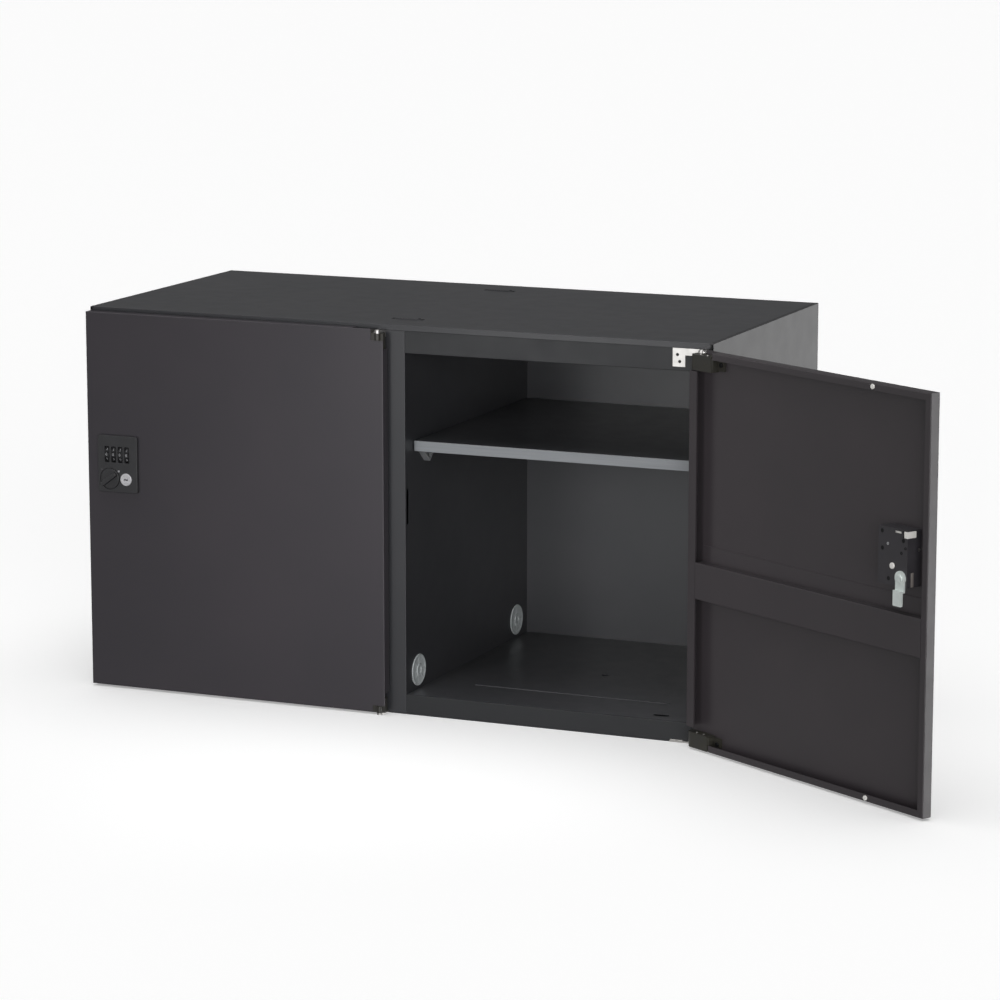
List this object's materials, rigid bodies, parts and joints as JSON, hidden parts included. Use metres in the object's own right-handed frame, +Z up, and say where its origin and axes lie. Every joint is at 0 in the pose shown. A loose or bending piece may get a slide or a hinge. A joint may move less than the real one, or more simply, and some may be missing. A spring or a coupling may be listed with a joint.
{
  "type": "parcel drop box",
  "caption": "Low charcoal steel parcel locker with side-by-side hinged doors, dial and key locks, lift-out shelves and floor anchor slots.",
  "frame": {"origin": "centre of the carcass underside, doors not counted", "axes": "+X to the right seen from the front, -Y out of the front where the doors open, +Z up"},
  "size_m": [1.2671, 0.664, 0.5265],
  "materials": {
    "charcoal_paint": "fine-textured matt charcoal powder coat",
    "trim_grey": "light grey satin edging",
    "cap_grey": "pale grey moulded resin",
    "zinc_steel": "bright zinc plated steel",
    "nickel": "satin nickel plated",
    "black_screw": "blackened steel screw",
    "white_resin": "white moulded resin",
    "black_resin": "fine-grained black moulded resin"
  },
  "bodies": {
    "cabinet": {"left_side_panel": "charcoal_paint", "right_side_panel": "charcoal_paint", "top_panel": "charcoal_paint", "bottom_panel": "charcoal_paint", "back_panel": "charcoal_paint", "centre_partition": "charcoal_paint", "floor_trays": "charcoal_paint", "top_rails": "charcoal_paint", "bottom_rails": "charcoal_paint", "shelf_clips": "zinc_steel", "wall_caps": "cap_grey", "hinge_brackets": "zinc_steel", "hinge_pins": "zinc_steel", "bracket_screws": "zinc_steel"},
    "left_door": {"left_door_panel": "charcoal_paint", "left_door_stiffener": "charcoal_paint", "left_hinge_blocks": "black_resin", "left_hinge_screws": "zinc_steel", "left_door_bumpers": "white_resin", "left_lock_plate": "black_resin", "left_lock_case": "black_resin", "left_case_screws": "black_screw", "left_dial_shaft": "zinc_steel", "left_key_barrel": "nickel"},
    "left_dial_1": {"left_dial_1": "black_resin"},
    "left_dial_2": {"left_dial_2": "black_resin"},
    "left_dial_3": {"left_dial_3": "black_resin"},
    "left_dial_4": {"left_dial_4": "black_resin"},
    "left_knob": {"left_knob": "black_resin", "left_lock_cam": "zinc_steel", "left_cam_screw": "zinc_steel"},
    "left_key_plug": {"left_key_plug": "nickel"},
    "left_setting_lever": {"left_setting_lever": "white_resin"},
    "left_setting_button": {"left_setting_button": "white_resin"},
    "left_shelf": {"left_shelf": "charcoal_paint", "left_shelf_trim": "trim_grey"},
    "right_door": {"right_door_panel": "charcoal_paint", "right_door_stiffener": "charcoal_paint", "right_hinge_blocks": "black_resin", "right_hinge_screws": "zinc_steel", "right_door_bumpers": "white_resin", "right_lock_plate": "black_resin", "right_lock_case": "black_resin", "right_case_screws": "black_screw", "right_dial_shaft": "zinc_steel", "right_key_barrel": "nickel"},
    "right_dial_1": {"right_dial_1": "black_resin"},
    "right_dial_2": {"right_dial_2": "black_resin"},
    "right_dial_3": {"right_dial_3": "black_resin"},
    "right_dial_4": {"right_dial_4": "black_resin"},
    "right_knob": {"right_knob": "black_resin", "right_lock_cam": "zinc_steel", "right_cam_screw": "zinc_steel"},
    "right_key_plug": {"right_key_plug": "nickel"},
    "right_setting_lever": {"right_setting_lever": "white_resin"},
    "right_setting_button": {"right_setting_button": "white_resin"},
    "right_shelf": {"right_shelf": "charcoal_paint", "right_shelf_trim": "trim_grey"}
  },
  "joints": [
    {"name": "left_door_hinge", "type": "hinge", "parent": "cabinet", "child": "left_door", "pos_m": [-0.0125, -0.2255, 0], "axis": [0, 0, 1], "range_deg": [0, 150]},
    {"name": "left_dial_1_spin", "type": "hinge", "parent": "left_door", "child": "left_dial_1", "pos_m": [-0.4156, -0.2232, 0.327], "axis": [1, 0, 0], "continuous": true},
    {"name": "left_dial_2_spin", "type": "hinge", "parent": "left_door", "child": "left_dial_2", "pos_m": [-0.4055, -0.2232, 0.327], "axis": [1, 0, 0], "continuous": true},
    {"name": "left_dial_3_spin", "type": "hinge", "parent": "left_door", "child": "left_dial_3", "pos_m": [-0.3954, -0.2232, 0.327], "axis": [1, 0, 0], "continuous": true},
    {"name": "left_dial_4_spin", "type": "hinge", "parent": "left_door", "child": "left_dial_4", "pos_m": [-0.3853, -0.2232, 0.327], "axis": [1, 0, 0], "continuous": true},
    {"name": "left_knob_turn", "type": "hinge", "parent": "left_door", "child": "left_knob", "pos_m": [-0.4115, -0.2275, 0.2935], "axis": [0, -1, 0], "range_deg": [-90, 0]},
    {"name": "left_key_turn", "type": "hinge", "parent": "left_door", "child": "left_key_plug", "pos_m": [-0.3867, -0.2275, 0.2935], "axis": [0, -1, 0], "range_deg": [-90, 0]},
    {"name": "left_lever_slide", "type": "slide", "parent": "left_door", "child": "left_setting_lever", "axis": [1, 0, 0], "range_m": [0, 0.0035]},
    {"name": "left_button_push", "type": "slide", "parent": "left_door", "child": "left_setting_button", "axis": [0, -1, 0], "range_m": [0, 0.0015], "stiffness_N_per_m": 300},
    {"name": "left_shelf_lift", "type": "slide", "parent": "cabinet", "child": "left_shelf", "axis": [0, 0, 1], "range_m": [0, 0.03]},
    {"name": "right_door_hinge", "type": "hinge", "parent": "cabinet", "child": "right_door", "pos_m": [0.4395, -0.2255, 0], "axis": [0, 0, 1], "range_deg": [-150, 0]},
    {"name": "right_dial_1_spin", "type": "hinge", "parent": "right_door", "child": "right_dial_1", "pos_m": [0.78744, -0.42904, 0.327], "axis": [-0.866, 0.5, 0], "continuous": true},
    {"name": "right_dial_2_spin", "type": "hinge", "parent": "right_door", "child": "right_dial_2", "pos_m": [0.7787, -0.42399, 0.327], "axis": [-0.866, 0.5, 0], "continuous": true},
    {"name": "right_dial_3_spin", "type": "hinge", "parent": "right_door", "child": "right_dial_3", "pos_m": [0.76995, -0.41894, 0.327], "axis": [-0.866, 0.5, 0], "continuous": true},
    {"name": "right_dial_4_spin", "type": "hinge", "parent": "right_door", "child": "right_dial_4", "pos_m": [0.7612, -0.41389, 0.327], "axis": [-0.866, 0.5, 0], "continuous": true},
    {"name": "right_knob_turn", "type": "hinge", "parent": "right_door", "child": "right_knob", "pos_m": [0.78604, -0.42327, 0.2935], "axis": [0.5, 0.866, 0], "range_deg": [-90, 0]},
    {"name": "right_key_turn", "type": "hinge", "parent": "right_door", "child": "right_key_plug", "pos_m": [0.76457, -0.41087, 0.2935], "axis": [0.5, 0.866, 0], "range_deg": [-90, 0]},
    {"name": "right_lever_slide", "type": "slide", "parent": "right_door", "child": "right_setting_lever", "axis": [-0.866, 0.5, 0], "range_m": [0, 0.0035]},
    {"name": "right_button_push", "type": "slide", "parent": "right_door", "child": "right_setting_button", "axis": [0.5, 0.866, 0], "range_m": [0, 0.0015], "stiffness_N_per_m": 300},
    {"name": "right_shelf_lift", "type": "slide", "parent": "cabinet", "child": "right_shelf", "axis": [0, 0, 1], "range_m": [0, 0.03]}
  ]
}
